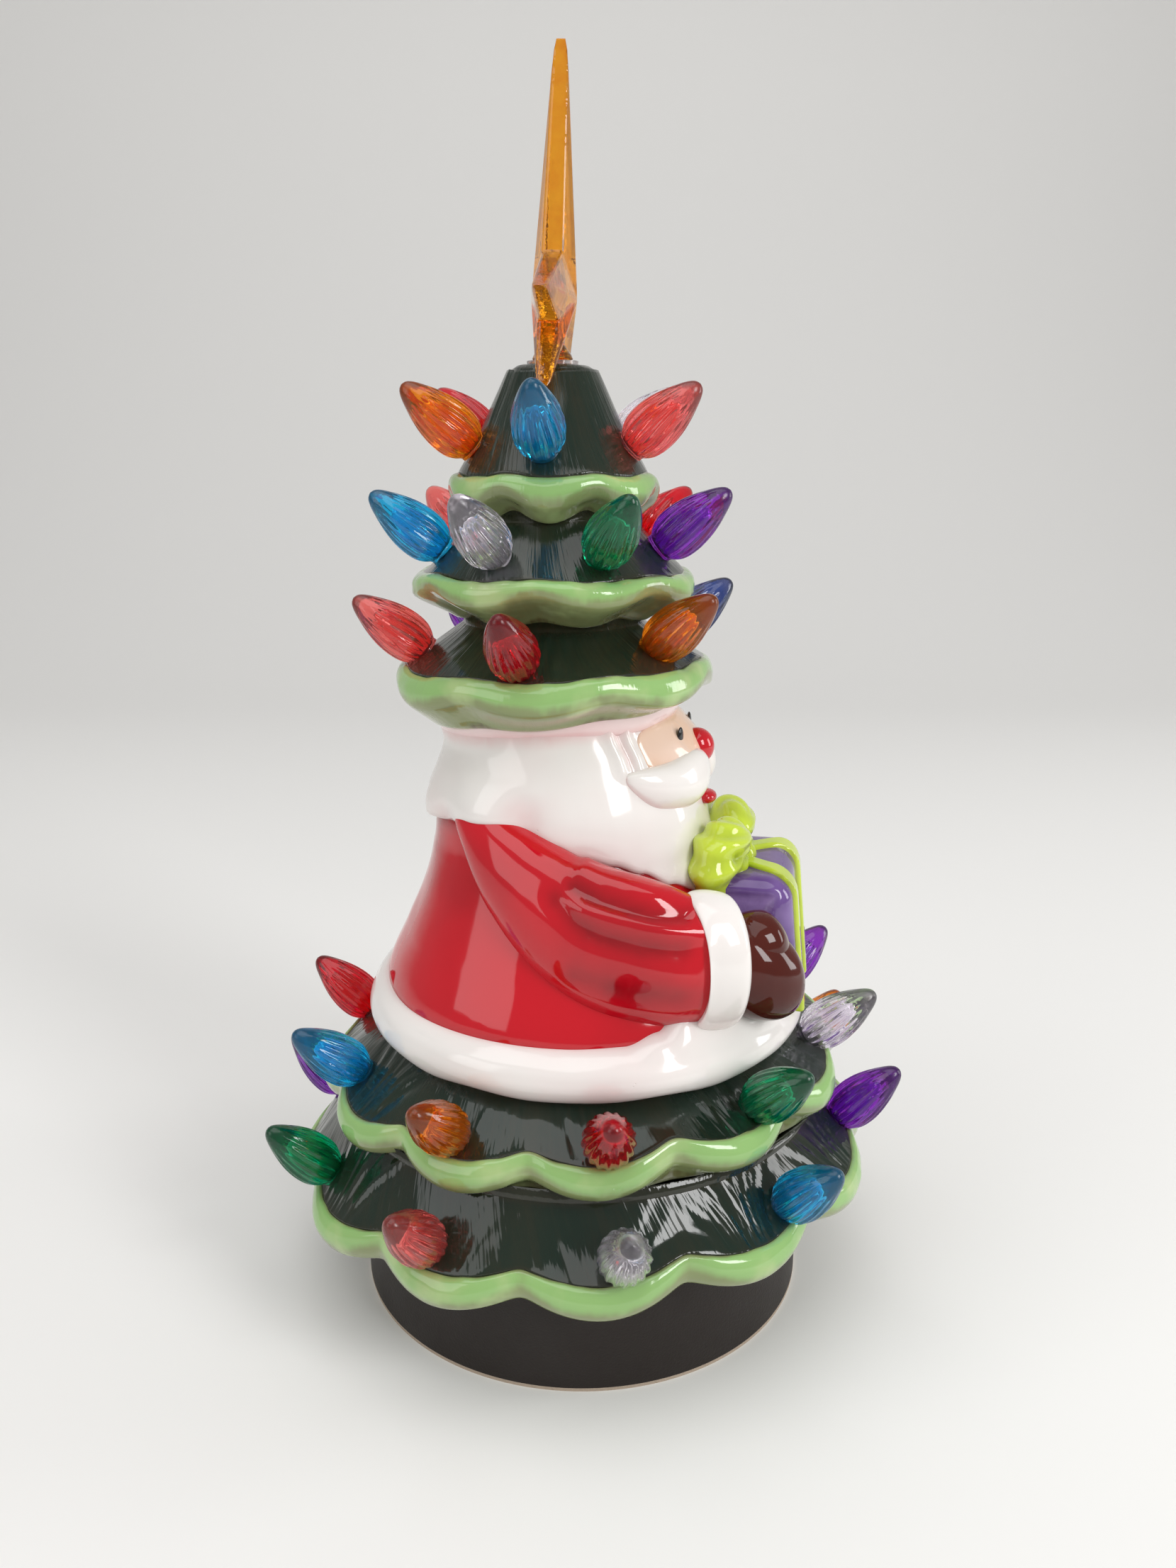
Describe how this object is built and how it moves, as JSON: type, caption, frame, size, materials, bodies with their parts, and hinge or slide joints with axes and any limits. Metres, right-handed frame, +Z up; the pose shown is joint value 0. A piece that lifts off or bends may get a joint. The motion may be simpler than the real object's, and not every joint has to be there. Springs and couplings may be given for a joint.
{
  "type": "battery lit ceramic tree",
  "caption": "Tabletop glazed ceramic holiday tree with a seated gift-bearing figure between its tiers, plastic peg bulbs, a lift-off star and a battery light base.",
  "frame": {"origin": "centre of the foot of the base, on the surface that it stands on", "axes": "+Z up along the tree; the figure and the gift face -Y; +X is the figure's left side"},
  "size_m": [0.1726, 0.1768, 0.3201],
  "materials": {
    "dark_green_glaze": "glossy near-black green glaze over brushed ceramic",
    "light_green_glaze": "glossy light green glaze, thin over the clay at the notches",
    "white_glaze": "glossy white glaze",
    "pink_glaze": "glossy pale pink glaze",
    "skin_glaze": "glossy peach glaze",
    "black_glaze": "glossy black glaze",
    "red_glaze": "glossy deep red glaze",
    "brown_glaze": "glossy dark red-brown glaze",
    "purple_glaze": "glossy purple glaze",
    "lime_glaze": "glossy lime glaze",
    "red_bulb": "translucent red plastic",
    "amber_bulb": "translucent amber plastic",
    "coral_bulb": "translucent coral plastic",
    "blue_bulb": "translucent turquoise blue plastic",
    "navy_bulb": "translucent dark blue plastic",
    "green_bulb": "translucent green plastic",
    "purple_bulb": "translucent purple plastic",
    "clear_bulb": "clear plastic with a lavender tint",
    "amber_star": "translucent amber plastic, polished facets",
    "clear_plastic": "clear plastic",
    "brown_plastic": "satin dark brown moulded plastic",
    "grey_plastic": "textured dark grey moulded plastic",
    "white_plastic": "white moulded plastic",
    "foam": "tan foam strip",
    "steel": "plated steel",
    "cell_wrap": "plain foil wrap",
    "board": "green lacquered circuit board",
    "chip": "black moulded resin",
    "lamp": "warm white lamp lens",
    "wire": "red wire sleeve"
  },
  "bodies": {
    "tree": {"tier_1_shell": "dark_green_glaze", "tier_2_shell": "dark_green_glaze", "tier_3_shell": "dark_green_glaze", "tier_4_shell": "dark_green_glaze", "tier_5_shell": "dark_green_glaze", "tier_1_rim": "light_green_glaze", "tier_2_rim": "light_green_glaze", "tier_3_rim": "light_green_glaze", "tier_4_rim": "light_green_glaze", "tier_5_rim": "light_green_glaze", "head_shell": "white_glaze", "hat_band": "pink_glaze", "face": "skin_glaze", "eyes": "black_glaze", "nose": "red_glaze", "moustache": "white_glaze", "mouth": "red_glaze", "coat_shell": "red_glaze", "coat_hem": "white_glaze", "sleeve_right": "red_glaze", "sleeve_left": "red_glaze", "cuff_right": "white_glaze", "cuff_left": "white_glaze", "mitten_right": "brown_glaze", "mitten_left": "brown_glaze", "gift_box": "purple_glaze", "gift_ribbon": "lime_glaze", "gift_bow": "lime_glaze", "star_socket": "clear_plastic", "bulbs_red": "red_bulb", "bulbs_amber": "amber_bulb", "bulbs_coral": "coral_bulb", "bulbs_blue": "blue_bulb", "bulbs_navy": "navy_bulb", "bulbs_green": "green_bulb", "bulbs_purple": "purple_bulb", "bulbs_clear": "clear_bulb", "base_housing": "brown_plastic", "base_plate": "grey_plastic", "foot_ring": "foam", "case_screws": "steel", "battery_tray": "grey_plastic", "battery_cells": "cell_wrap", "battery_springs": "steel", "battery_contacts": "steel", "circuit_board": "board", "timer_chip": "chip", "switch_body": "grey_plastic", "mast_holder": "white_plastic", "light_mast": "board", "mast_leds": "lamp", "lead_wires": "wire"},
    "star": {"star_topper": "amber_star"},
    "door": {"battery_door": "grey_plastic"},
    "switch": {"switch_slider": "white_plastic"}
  },
  "joints": [
    {"name": "star_lift", "type": "slide", "parent": "tree", "child": "star", "axis": [0, 0, 1], "range_m": [0, 0.03]},
    {"name": "door_hinge", "type": "hinge", "parent": "tree", "child": "door", "pos_m": [0, 0.031, 0.0037], "axis": [1, 0, 0], "range_deg": [0, 100]},
    {"name": "switch_slide", "type": "slide", "parent": "tree", "child": "switch", "axis": [0, 1, 0], "range_m": [-0.003, 0.003]}
  ]
}
